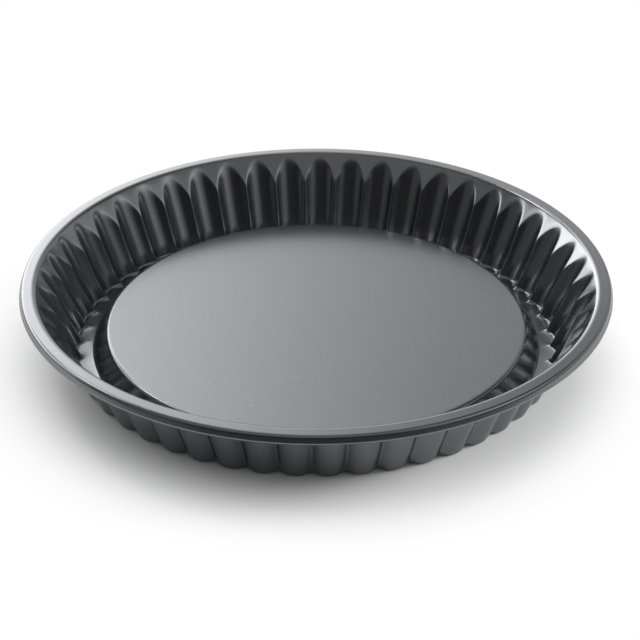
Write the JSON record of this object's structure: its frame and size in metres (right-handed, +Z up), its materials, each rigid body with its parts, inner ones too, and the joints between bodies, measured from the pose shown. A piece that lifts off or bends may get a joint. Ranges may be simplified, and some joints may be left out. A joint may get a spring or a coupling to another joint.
{
  "type": "sponge flan tin",
  "caption": "Round fluted baking tin with a raised flat middle, a trough round it, a leaning scalloped wall and a flat rolled rim, for baking a sponge base that takes a filling.",
  "frame": {"origin": "on the tin's axis, at the level of the flat ring under the trough that the tin stands on", "axes": "+Z up along the tin's axis, out of its mouth; +X through the crown of one flute; +Y completes the frame"},
  "size_m": [0.2954, 0.2952, 0.039],
  "materials": {
    "non_stick_coat": "satin charcoal non-stick coat with a fine metallic speckle, on pressed steel sheet",
    "wire_steel": "drawn bare steel wire"
  },
  "bodies": {
    "root": {"pressed_tin": "non_stick_coat", "rim_wire": "wire_steel"}
  },
  "joints": []
}
